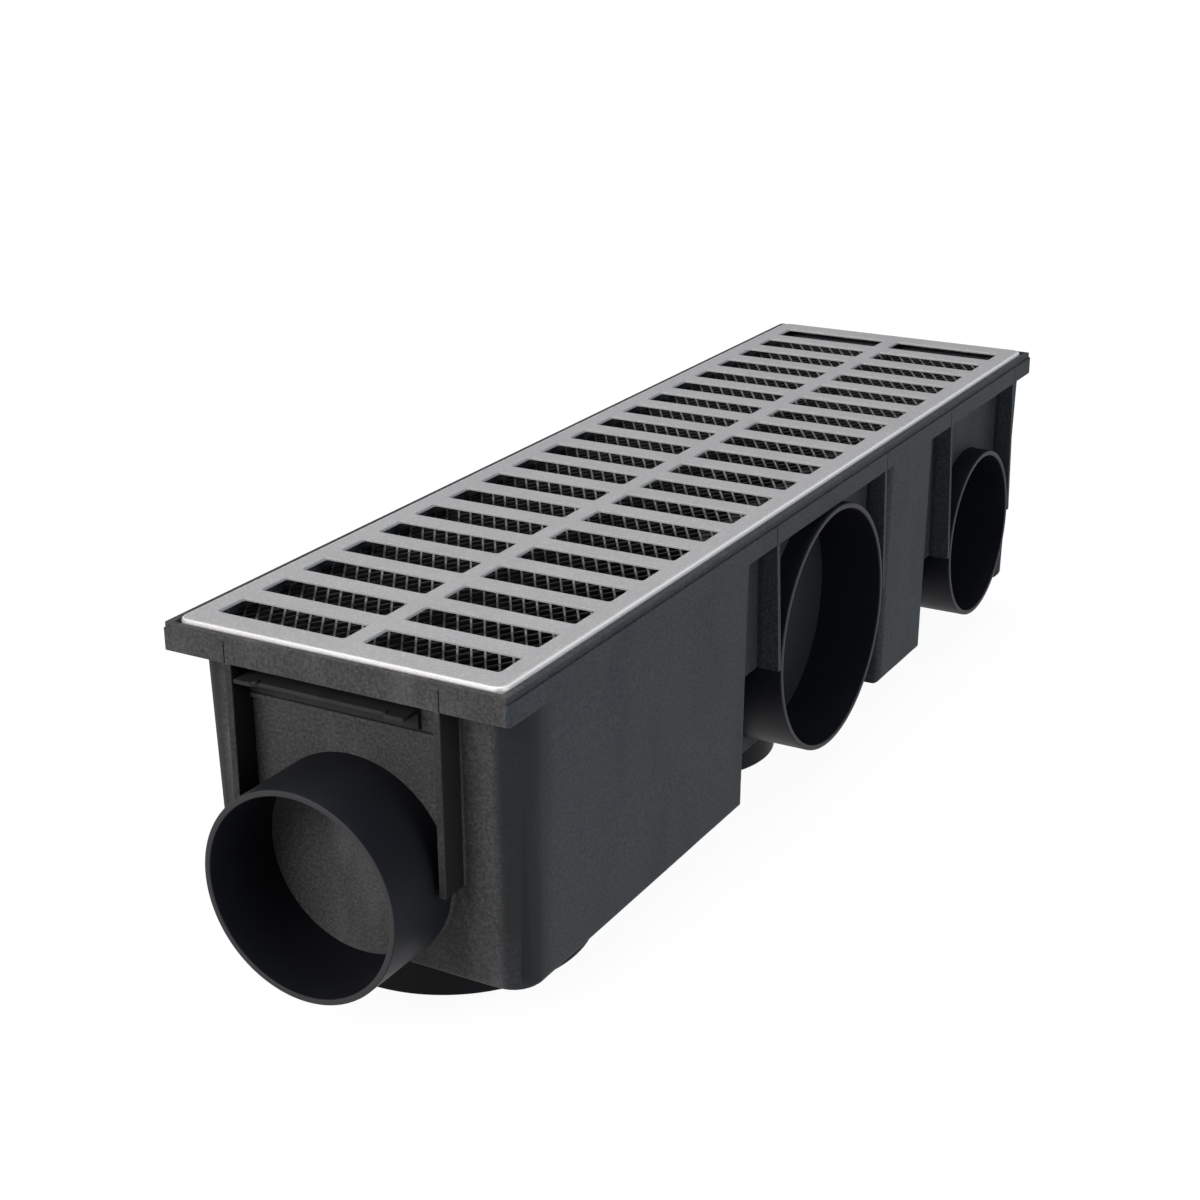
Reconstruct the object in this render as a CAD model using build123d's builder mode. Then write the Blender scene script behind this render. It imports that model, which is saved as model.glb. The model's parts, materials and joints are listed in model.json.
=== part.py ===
from build123d import *
import os

os.makedirs("parts", exist_ok=True)

# Frame, in millimetres: X runs across the channel, Y along it and Z up.
# The origin lies under the middle of the rim, in the plane that the bottom outlets stand on.

# The rim and the channel under it
rim_width = 145.0
rim_length = 522.0
rim_height = 10.5
rim_corner = 1.5
wall = 2.5
side_overhang = 2.8
near_overhang = 12.5
far_overhang = 8.0
wall_lean = 2.0
near_corner = 12.0
far_corner = 5.0
base_fillet = 3.0
skirt_wall = 2.5
skirt_pocket = 5.0
band_height = 2.4
band_step = 0.8

# The two steps in the rim's mouth, which carry the grate and the leaf mesh
side_strip = 3.5
end_strip = 2.5
grate_seat_drop = 3.0
mesh_seat_drop = 7.0
mesh_seat_side_margin = 3.0
mesh_seat_end_margin = 8.5
mouth_ledge = 4.5
seat_gap = 0.5

# The grate
grate_stand = 2.0
grate_sheet = 1.6
grate_corner = 5.0
grate_roll = 2.0
slot_pitch = 25.0
slot_width = 12.0
slot_corner = 1.0
slot_side_margin = 10.5
least_slot_end_margin = 12.0
centre_bar = 11.0

# The leaf mesh under the grate
mesh_sheet = 1.2
mesh_border = 7.0
mesh_cells_across = 5
mesh_cells_along = 18
strand = 3.4

# The outlets
outlet_wall = 2.5
end_outlet_radius = 40.5
end_outlet_reach = 24.3
large_outlet_radius = 55.0
small_outlet_radius = 42.5
side_outlet_proud = 1.5
outlet_headroom = 0.5
bottom_outlet_near_radius = 55.0
bottom_outlet_mid_radius = 42.5
bottom_outlet_reach = 15.0
near_station_setback = 71.0
far_station_setback = 71.0
middle_station = 4.0

# The recesses that the side outlets stand in, whose upper half is filled to a shallow shoulder
niche_depth = 27.5
shoulder_depth = 8.5
large_niche_near_margin = 21.0
large_niche_far_margin = 16.0
small_niche_near_margin = 18.0
small_niche_far_margin = 9.0
niche_inner_round = 4.0
niche_outer_round = 4.0
arch_gap = 0.2

# The upright ribs beside the outlets, and the fine seams above them
rib_thickness = 2.5
rib_splay = 1.0
seam_width = 0.6
seam_depth = 0.5

# The end panel, its lip and the clip above it
panel_proud = 1.5
panel_margin = 2.0
lip_drop = 24.5
lip_height = 1.6
lip_proud = 1.5
clip_sheet = 1.6
clip_tongue_drop = 16.0
clip_right_end = 30.0
clip_gap = 0.4
clip_foot_gap = 0.8
clip_nose_relief = 1.6
clip_nub = 2.4

# Levels and planes worked out from the sizes above
underside_z = bottom_outlet_reach
channel_depth = 2 * large_outlet_radius + outlet_headroom + rim_height
rim_top_z = underside_z + channel_depth
skirt_z = rim_top_z - rim_height
grate_seat_z = rim_top_z - grate_seat_drop
mesh_seat_z = rim_top_z - mesh_seat_drop
grate_top_z = rim_top_z + grate_stand
half_width = rim_width / 2
half_length = rim_length / 2
bottom_near_station = near_station_setback - half_length
far_station = half_length - far_station_setback
grate_mouth_half_width = half_width - side_strip
grate_mouth_half_length = half_length - end_strip
mesh_mouth_half_width = grate_mouth_half_width - mesh_seat_side_margin
mesh_mouth_half_length = grate_mouth_half_length - mesh_seat_end_margin
mouth_half_width = mesh_mouth_half_width - mouth_ledge
mouth_half_length = mesh_mouth_half_length - mouth_ledge
niche_wall_x = half_width - niche_depth
shoulder_x = half_width - shoulder_depth
side_mouth_x = half_width + side_outlet_proud
near_wall_y = near_overhang - half_length
panel_y = near_wall_y - panel_proud
end_mouth_y = -half_length - end_outlet_reach
end_axis_z = underside_z + end_outlet_radius
large_axis_z = underside_z + large_outlet_radius
small_axis_z = underside_z + small_outlet_radius
lip_z = rim_top_z - lip_drop

# Each side outlet's station, radius, axis height, and the near and far ends of its recess
side_outlets = {
    "large": (
        middle_station,
        large_outlet_radius,
        large_axis_z,
        middle_station - large_outlet_radius - large_niche_near_margin,
        middle_station + large_outlet_radius + large_niche_far_margin,
    ),
    "small": (
        far_station,
        small_outlet_radius,
        small_axis_z,
        far_station - small_outlet_radius - small_niche_near_margin,
        far_station + small_outlet_radius + small_niche_far_margin,
    ),
}


def lean_at(height):
    """How far a channel wall has leant in at this height."""
    return wall_lean * (skirt_z - height) / (skirt_z - underside_z)


def channel_plan(height, inset):
    """Half width, near end and far end of the channel's plan at this height."""
    drawn_in = lean_at(height) + inset
    return (
        half_width - side_overhang - drawn_in,
        near_overhang - half_length + drawn_in,
        half_length - far_overhang - drawn_in,
    )


def add_block(x_span, y_span, z_span, mode=Mode.ADD):
    """Add or cut an upright block between three pairs of planes."""
    with BuildSketch(Plane.XY.offset(z_span[0])) as footprint:
        with Locations(((x_span[0] + x_span[1]) / 2, (y_span[0] + y_span[1]) / 2)):
            Rectangle(x_span[1] - x_span[0], y_span[1] - y_span[0])
    extrude(footprint.sketch, amount=z_span[1] - z_span[0], mode=mode)


def channel_block(inset, base_z, top_z, rounded):
    """The channel's leaning block, with the recesses for the side outlets, drawn in by inset.

    The outside's base and recesses are rounded too, and the cavity's are left square.
    """
    with BuildPart() as block:
        for height in (base_z, top_z):
            half_span, near_y, far_y = channel_plan(height, inset)
            with BuildSketch(Plane.XY.offset(height)) as plan:
                with Locations((0, (near_y + far_y) / 2)):
                    Rectangle(2 * half_span, far_y - near_y)
                fillet(plan.vertices().group_by(Axis.Y)[0], near_corner - inset)
                fillet(plan.vertices().group_by(Axis.Y)[-1], far_corner - inset)
        loft()
        if rounded:
            fillet(block.edges().group_by(Axis.Z)[0], base_fillet)
        for _, _, _, niche_near_y, niche_far_y in side_outlets.values():
            near_y = niche_near_y - inset
            far_y = niche_far_y + inset
            inner_x = niche_wall_x - inset
            for height in (base_z, top_z):
                wall_x, _, _ = channel_plan(height, inset)
                with BuildSketch(Plane.XY.offset(height)) as niche:
                    with Locations(((inner_x + rim_width) / 2, (near_y + far_y) / 2)):
                        Rectangle(rim_width - inner_x, far_y - near_y)
                    if rounded:
                        fillet(niche.vertices().group_by(Axis.X)[0], niche_inner_round)
                        with Locations(((wall_x + rim_width) / 2, (near_y + far_y) / 2)):
                            Rectangle(rim_width - wall_x, far_y - near_y + 4 * niche_outer_round)
                        mouth = niche.vertices().filter_by_position(Axis.X, wall_x - 0.1, wall_x + 0.1)
                        mouth = mouth.filter_by_position(Axis.Y, near_y - 0.1, far_y + 0.1)
                        fillet(mouth, niche_outer_round)
            loft(mode=Mode.SUBTRACT)
    return block.part


def outlet_tube(plane, radius, length):
    """An open tube that stands on the given plane."""
    with BuildPart() as tube:
        with BuildSketch(plane):
            Circle(radius)
            Circle(radius - outlet_wall, mode=Mode.SUBTRACT)
        extrude(amount=length)
    return tube.part


def side_housing(station, radius, axis_z, niche_near_y, niche_far_y):
    """The shoulder arched over a side outlet, and the two ribs that rise from the tube's sides."""
    with BuildPart() as housing:
        add_block(
            (niche_wall_x, shoulder_x),
            (niche_near_y, niche_far_y),
            (axis_z, skirt_z),
        )
        fillet(housing.edges().filter_by(Axis.Z).group_by(Axis.X)[0], niche_inner_round)
        for side in (-1, 1):
            rib_y = station + side * (radius + arch_gap + rib_thickness / 2)
            for height, outer_x, centre_y in (
                (axis_z, side_mouth_x, rib_y),
                (skirt_z, half_width, rib_y + side * rib_splay),
            ):
                with BuildSketch(Plane.XY.offset(height)):
                    with Locations(((shoulder_x + outer_x) / 2, centre_y)):
                        Rectangle(outer_x - shoulder_x, rib_thickness)
            loft()
        with BuildSketch(Plane((niche_wall_x, station, axis_z), x_dir=(0, 1, 0), z_dir=(1, 0, 0))):
            Circle(radius + arch_gap)
        extrude(amount=niche_depth + side_outlet_proud, mode=Mode.SUBTRACT)
    return housing.part


# Body: one moulded channel, with its rim, skirt, recesses and end ribs
with BuildPart() as body:
    add(channel_block(0, underside_z, skirt_z, True))

    # The rim, with sharp corners and a fine step along its outer edge
    with BuildSketch(Plane.XY.offset(skirt_z)):
        RectangleRounded(rim_width, rim_length, rim_corner)
    extrude(amount=rim_height - band_height)
    with BuildSketch(Plane.XY.offset(rim_top_z - band_height)):
        RectangleRounded(rim_width - 2 * band_step, rim_length, rim_corner)
    extrude(amount=band_height)

    # The hollow under the deep overhang at the near end
    add_block(
        (skirt_wall - half_width, half_width - skirt_wall),
        (skirt_wall - half_length, panel_y - wall),
        (skirt_z, skirt_z + skirt_pocket),
        Mode.SUBTRACT,
    )

    # The inside of the channel, then the mouth above it in its three widths
    add(channel_block(wall, underside_z + wall, skirt_z, False), mode=Mode.SUBTRACT)
    for seat_z, mouth_x, mouth_y in (
        (skirt_z, mouth_half_width, mouth_half_length),
        (mesh_seat_z, mesh_mouth_half_width, mesh_mouth_half_length),
        (grate_seat_z, grate_mouth_half_width, grate_mouth_half_length),
    ):
        add_block(
            (-mouth_x, mouth_x),
            (-mouth_y, mouth_y),
            (seat_z, rim_top_z),
            Mode.SUBTRACT,
        )

    for station, radius, _, niche_near_y, niche_far_y in side_outlets.values():
        # The roof that closes the recess under the mouth
        add_block(
            (niche_wall_x - wall, mouth_half_width),
            (niche_near_y - wall, min(niche_far_y + wall, mouth_half_length)),
            (skirt_z, skirt_z + wall),
        )
        # A fine seam up the skirt over each rib
        for side in (-1, 1):
            seam_y = station + side * (radius + arch_gap + rib_thickness + rib_splay)
            add_block(
                (half_width - seam_depth, half_width),
                (seam_y - seam_width / 2, seam_y + seam_width / 2),
                (skirt_z, rim_top_z - band_height),
                Mode.SUBTRACT,
            )

    # The raised panel at the near end, round below and straight above its tube's axis
    panel_half_width = end_outlet_radius + panel_margin
    with BuildSketch(Plane.XZ.offset(-panel_y)):
        with Locations((0, end_axis_z)):
            Circle(end_outlet_radius)
        with Locations((0, (end_axis_z + lip_z) / 2)):
            Rectangle(2 * panel_half_width, lip_z - end_axis_z)
    extrude(amount=-(panel_proud + wall))

    # The lip along the panel's top, and the flat seat of the clip over it
    add_block(
        (-panel_half_width, panel_half_width),
        (panel_y - lip_proud, near_wall_y + wall),
        (lip_z - lip_height, lip_z),
    )
    add_block(
        (-panel_half_width, panel_half_width),
        (panel_y, near_wall_y + wall),
        (lip_z, skirt_z),
    )

    # The end ribs, which reach from the end wall to the face of the skirt
    for side in (-1, 1):
        outer_x = side * (panel_half_width + rib_thickness)
        inner_x = side * panel_half_width
        rib_span = (min(outer_x, inner_x), max(outer_x, inner_x))
        add_block(rib_span, (-half_length, near_wall_y + wall), (end_axis_z, skirt_z))
        add_block(rib_span, (-half_length, panel_y - wall), (skirt_z, skirt_z + skirt_pocket))
        add_block(
            (outer_x - seam_width / 2, outer_x + seam_width / 2),
            (-half_length, seam_depth - half_length),
            (skirt_z, rim_top_z - band_height),
            Mode.SUBTRACT,
        )
body.part.label = "drain_body"
export_step(body.part, "parts/drain_body.step")

# Housings: the upper halves of the two recesses, each arched over its tube
for size_name, outlet in side_outlets.items():
    housing = side_housing(*outlet)
    housing.label = f"side_housing_{size_name}"
    export_step(housing, f"parts/side_housing_{size_name}.step")

# Grate: a pressed sheet with a rolled edge turned down all round
grate_width = 2 * (grate_mouth_half_width - seat_gap)
grate_length = 2 * (grate_mouth_half_length - seat_gap)
slot_length = (grate_width - centre_bar) / 2 - slot_side_margin
slot_rows = 1 + int((grate_length - 2 * least_slot_end_margin - slot_width) / slot_pitch)
with BuildPart() as grate:
    with BuildSketch(Plane.XY.offset(grate_seat_z)):
        RectangleRounded(grate_width, grate_length, grate_corner)
    extrude(amount=grate_top_z - grate_seat_z)
    fillet(grate.edges().group_by(Axis.Z)[-1], grate_roll)
    with BuildSketch(Plane.XY.offset(grate_seat_z)):
        RectangleRounded(
            grate_width - 2 * grate_sheet,
            grate_length - 2 * grate_sheet,
            grate_corner - grate_sheet,
        )
    extrude(amount=grate_top_z - grate_seat_z - grate_sheet, mode=Mode.SUBTRACT)
    with BuildSketch(Plane.XY.offset(grate_top_z - grate_sheet)):
        with BuildSketch(mode=Mode.PRIVATE) as slot:
            Rectangle(slot_length, slot_width)
            chamfer(slot.vertices(), slot_corner)
        with GridLocations(slot_length + centre_bar, slot_pitch, 2, slot_rows):
            add(slot.sketch)
    extrude(amount=grate_sheet, mode=Mode.SUBTRACT)
grate.part.label = "grate"
export_step(grate.part, "parts/grate.step")

# Leaf mesh: an expanded sheet of diamond gaps in alternate rows
mesh_width = 2 * (mesh_mouth_half_width - seat_gap)
mesh_length = 2 * (mesh_mouth_half_length - seat_gap)
cell_x = (mesh_width - 2 * mesh_border) / mesh_cells_across
cell_y = (mesh_length - 2 * mesh_border) / mesh_cells_along
with BuildPart() as leaf_mesh:
    with BuildSketch(Plane.XY.offset(mesh_seat_z)):
        Rectangle(mesh_width, mesh_length)
        with BuildSketch(mode=Mode.PRIVATE) as diamond:
            with BuildLine():
                half_gap_x = cell_x / 2 - strand / 2
                half_gap_y = cell_y - strand
                Polyline(
                    (-half_gap_x, 0), (0, -half_gap_y), (half_gap_x, 0), (0, half_gap_y), close=True
                )
            make_face()
        for row in range(mesh_cells_along - 1):
            count = mesh_cells_across - row % 2
            centre_y = (row + 1 - mesh_cells_along / 2) * cell_y
            with Locations((0, centre_y)):
                with GridLocations(cell_x, cell_y, count, 1):
                    add(diamond.sketch, mode=Mode.SUBTRACT)
    extrude(amount=mesh_sheet)
leaf_mesh.part.label = "leaf_mesh"
export_step(leaf_mesh.part, "parts/leaf_mesh.step")

# End clip: a bent strip that stands on the panel's lip and holds a tongue out under the skirt
clip_left_x = clip_gap - panel_half_width
clip_top_z = rim_top_z - clip_tongue_drop
tongue_nose_y = -half_length + clip_gap
with BuildPart() as end_clip:
    add_block(
        (clip_left_x, clip_right_end),
        (panel_y - clip_sheet, panel_y),
        (lip_z + clip_foot_gap, clip_top_z),
    )
    with BuildSketch(Plane.XY.offset(clip_top_z - clip_sheet)):
        with BuildLine():
            Polyline(
                (clip_left_x, panel_y),
                (clip_left_x, tongue_nose_y),
                (clip_left_x + clip_nub * 3, tongue_nose_y),
                (clip_left_x + clip_nub * 4, tongue_nose_y + clip_nose_relief),
                (clip_right_end - clip_nub * 4, tongue_nose_y + clip_nose_relief),
                (clip_right_end - clip_nub * 3, tongue_nose_y),
                (clip_right_end, tongue_nose_y),
                (clip_right_end, panel_y),
                close=True,
            )
        make_face()
    extrude(amount=clip_sheet)
    with BuildSketch(Plane.XY.offset(clip_top_z)):
        nub_span = (clip_right_end - clip_left_x) - 7 * clip_nub
        with Locations(((clip_right_end + clip_left_x) / 2, tongue_nose_y + clip_nose_relief + clip_nub)):
            with GridLocations(nub_span, 1, 2, 1):
                Circle(clip_nub / 2)
    extrude(amount=clip_nub / 3)
end_clip.part.label = "end_clip"
export_step(end_clip.part, "parts/end_clip.step")

# Outlets: open tubes that butt on the closed walls, whose discs are knocked out where a pipe joins
outlets = {
    "end_outlet": (
        Plane((0, panel_y, end_axis_z), x_dir=(1, 0, 0), z_dir=(0, -1, 0)),
        end_outlet_radius,
        panel_y - end_mouth_y,
    ),
    "side_outlet_large": (
        Plane((niche_wall_x, middle_station, large_axis_z), x_dir=(0, 1, 0), z_dir=(1, 0, 0)),
        large_outlet_radius,
        side_mouth_x - niche_wall_x,
    ),
    "side_outlet_small": (
        Plane((niche_wall_x, far_station, small_axis_z), x_dir=(0, 1, 0), z_dir=(1, 0, 0)),
        small_outlet_radius,
        side_mouth_x - niche_wall_x,
    ),
    "bottom_outlet_near": (
        Plane((0, bottom_near_station, underside_z), x_dir=(1, 0, 0), z_dir=(0, 0, -1)),
        bottom_outlet_near_radius,
        bottom_outlet_reach,
    ),
    "bottom_outlet_mid": (
        Plane((0, middle_station, underside_z), x_dir=(1, 0, 0), z_dir=(0, 0, -1)),
        bottom_outlet_mid_radius,
        bottom_outlet_reach,
    ),
}
for name, (plane, radius, length) in outlets.items():
    tube = outlet_tube(plane, radius, length)
    tube.label = name
    export_step(tube, f"parts/{name}.step")
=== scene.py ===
"""The looks of a channel drain: moulded plastic body and tubes, pressed metal grate and leaf mesh."""

import json
import logging
import math
from collections import Counter
from dataclasses import dataclass, field
from enum import Enum
from typing import Callable, Iterable, Optional, Sequence, Union

import bpy
from mathutils import Matrix, Vector

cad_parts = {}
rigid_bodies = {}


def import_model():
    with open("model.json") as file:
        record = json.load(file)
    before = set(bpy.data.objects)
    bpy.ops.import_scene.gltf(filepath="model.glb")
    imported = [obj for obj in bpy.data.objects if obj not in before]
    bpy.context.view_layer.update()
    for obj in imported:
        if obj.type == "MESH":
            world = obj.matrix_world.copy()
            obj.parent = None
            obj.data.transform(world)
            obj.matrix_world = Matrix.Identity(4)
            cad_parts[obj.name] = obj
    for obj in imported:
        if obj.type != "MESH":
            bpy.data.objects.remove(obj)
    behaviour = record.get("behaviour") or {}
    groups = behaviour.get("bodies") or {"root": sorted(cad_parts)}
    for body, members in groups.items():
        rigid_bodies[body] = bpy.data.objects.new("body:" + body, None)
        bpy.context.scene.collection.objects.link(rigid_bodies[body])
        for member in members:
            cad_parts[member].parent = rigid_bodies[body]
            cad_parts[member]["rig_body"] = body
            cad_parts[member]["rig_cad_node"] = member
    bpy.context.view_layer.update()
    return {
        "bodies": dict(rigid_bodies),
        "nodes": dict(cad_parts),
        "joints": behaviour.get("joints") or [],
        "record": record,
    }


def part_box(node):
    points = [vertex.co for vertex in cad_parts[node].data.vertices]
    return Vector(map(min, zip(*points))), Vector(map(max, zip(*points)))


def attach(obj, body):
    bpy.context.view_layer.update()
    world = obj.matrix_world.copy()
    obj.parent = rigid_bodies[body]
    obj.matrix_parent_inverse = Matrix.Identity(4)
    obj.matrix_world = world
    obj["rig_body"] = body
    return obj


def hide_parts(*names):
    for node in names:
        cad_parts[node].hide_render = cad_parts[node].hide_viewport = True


MM = 0.001
NEAR = 0.01 * MM
LOG = logging.getLogger("channel_drain")

# The tubes' plastic where the drain shades it, and the clip's
UNDERSIDE_COLOURS = {"colour": (0.0030, 0.0033, 0.0044), "pale": (0.0075, 0.0083, 0.0112)}
CLIP_COLOURS = {"colour": (0.024, 0.025, 0.026), "pale": (0.06, 0.06, 0.06)}

Value = Union[float, "Sock"]


class Direction(Enum):
    """The way that a tube's mouth points."""

    NEAR = (0.0, -1.0, 0.0)
    SIDE = (1.0, 0.0, 0.0)
    DOWN = (0.0, 0.0, -1.0)


class Sock:
    """A shader value whose arithmetic adds Math nodes."""

    def __init__(self, shader: "Shader", socket: bpy.types.NodeSocket) -> None:
        """Wrap one output socket.

        Args:
            shader: the shader that the socket belongs to.
            socket: the output socket.
        """
        self.shader = shader
        self.socket = socket

    def _math(self, operation: str, *values: Value) -> "Sock":
        """Add a Math node over the given values."""
        inputs = {index: value for index, value in enumerate(values)}
        return self.shader.node("ShaderNodeMath", {"operation": operation}, inputs)

    def __add__(self, other: Value) -> "Sock":
        """This value plus the other."""
        return self._math("ADD", self, other)

    def __radd__(self, other: Value) -> "Sock":
        """The other value plus this."""
        return self._math("ADD", other, self)

    def __sub__(self, other: Value) -> "Sock":
        """This value less the other."""
        return self._math("SUBTRACT", self, other)

    def __rsub__(self, other: Value) -> "Sock":
        """The other value less this."""
        return self._math("SUBTRACT", other, self)

    def __mul__(self, other: Value) -> "Sock":
        """This value times the other."""
        return self._math("MULTIPLY", self, other)

    def __abs__(self) -> "Sock":
        """This value without its sign."""
        return self._math("ABSOLUTE", self)

    def below(self, limit: Value) -> "Sock":
        """One where this value is under the limit, and zero elsewhere."""
        return self._math("LESS_THAN", self, limit)

    def part(self) -> "Sock":
        """What this value has past the whole number below it."""
        return self._math("FRACT", self)

    def sine(self) -> "Sock":
        """The sine of this value in radians."""
        return self._math("SINE", self)

    def root(self) -> "Sock":
        """The square root of this value."""
        return self._math("SQRT", self)

    def ramp(self, low: float, high: float, to_low: float, to_high: float) -> "Sock":
        """This value mapped smoothly from one range to another.

        Args:
            low: start of the range that is read.
            high: end of the range that is read.
            to_low: result at the start.
            to_high: result at the end.

        Returns:
            The mapped value, held at its two ends.
        """
        settings = {"interpolation_type": "SMOOTHSTEP"}
        inputs = {0: self, 1: low, 2: high, 3: to_low, 4: to_high}
        return self.shader.node("ShaderNodeMapRange", settings, inputs)

    def rise(self, start: float, end: float, peak: float = 1.0) -> "Sock":
        """Zero at the start, and smoothly up to the peak at the end.

        Args:
            start: where it leaves zero.
            end: where it reaches the peak, on either side of the start.
            peak: the value past the end.

        Returns:
            The mapped value.
        """
        return self.ramp(start, end, 0.0, peak)

    def fall(self, start: float, end: float, foot: float = 0.0) -> "Sock":
        """One at the start, and smoothly down to the foot at the end.

        Args:
            start: where it leaves one.
            end: where it reaches the foot, on either side of the start.
            foot: the value past the end.

        Returns:
            The mapped value.
        """
        return self.ramp(start, end, 1.0, foot)


class Shader:
    """A material's node tree, built through one method."""

    def __init__(self, name: str) -> None:
        """Start an empty material.

        Args:
            name: the material's name.
        """
        self.material = bpy.data.materials.new(name)
        self.material.use_nodes = True
        self.tree = self.material.node_tree
        self.tree.nodes.clear()
        place = self.tree.nodes.new("ShaderNodeTexCoord")
        self.place = Sock(self, place.outputs["Object"])
        parts = self.tree.nodes.new("ShaderNodeSeparateXYZ")
        self.tree.links.new(place.outputs["Object"], parts.inputs[0])
        self.x = Sock(self, parts.outputs[0])
        self.y = Sock(self, parts.outputs[1])
        self.z = Sock(self, parts.outputs[2])

    def node(
        self,
        kind: str,
        settings: Optional[dict] = None,
        inputs: Optional[dict] = None,
        output: Union[int, str] = 0,
    ) -> Sock:
        """Add any node.

        Args:
            kind: the node's type.
            settings: its properties, set first.
            inputs: the values or links of its sockets, by name or number.
            output: the output that is returned.

        Returns:
            The chosen output.
        """
        made = self.tree.nodes.new(kind)
        for key, value in (settings or {}).items():
            setattr(made, key, value)
        for key, value in (inputs or {}).items():
            if isinstance(value, Sock):
                self.tree.links.new(value.socket, made.inputs[key])
            else:
                made.inputs[key].default_value = value
        return Sock(self, made.outputs[output])

    def noise(self, scale: float, detail: float = 3.0, stretch: Sequence[float] = (1, 1, 1)) -> Sock:
        """Noise from 0 to 1 over the piece.

        Args:
            scale: waves to the metre.
            detail: octaves.
            stretch: how much closer together the waves are along each axis.

        Returns:
            The noise value.
        """
        spread = self.node("ShaderNodeMapping", None, {0: self.place, "Scale": tuple(stretch)})
        inputs = {"Vector": spread, "Scale": scale, "Detail": detail}
        return self.node("ShaderNodeTexNoise", None, inputs)

    def blend(self, factor: Value, first: Union[tuple, Sock], second: tuple) -> Sock:
        """A colour between two.

        Args:
            factor: 0 for the first and 1 for the second.
            first: a colour or a link.
            second: a colour.

        Returns:
            The mixed colour.
        """
        one = first if isinstance(first, Sock) else first + (1.0,)
        inputs = {"Factor": factor, 6: one, 7: second + (1.0,)}
        return self.node("ShaderNodeMix", {"data_type": "RGBA"}, inputs, output=2)

    def finish(self, height: Optional[Sock], depth: float, inputs: dict) -> bpy.types.Material:
        """Close the tree with a Principled shader.

        Args:
            height: the surface's height from 0 to 1, or None where it is smooth.
            depth: what a height of 1 stands for, in metres.
            inputs: the Principled shader's values and links.

        Returns:
            The finished material.
        """
        if height is not None:
            inputs["Normal"] = self.node(
                "ShaderNodeBump", None, {"Strength": 1.0, "Distance": depth, "Height": height}
            )
        surface = self.node("ShaderNodeBsdfPrincipled", None, inputs)
        out = self.tree.nodes.new("ShaderNodeOutputMaterial")
        self.tree.links.new(surface.socket, out.inputs["Surface"])
        return self.material


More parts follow.
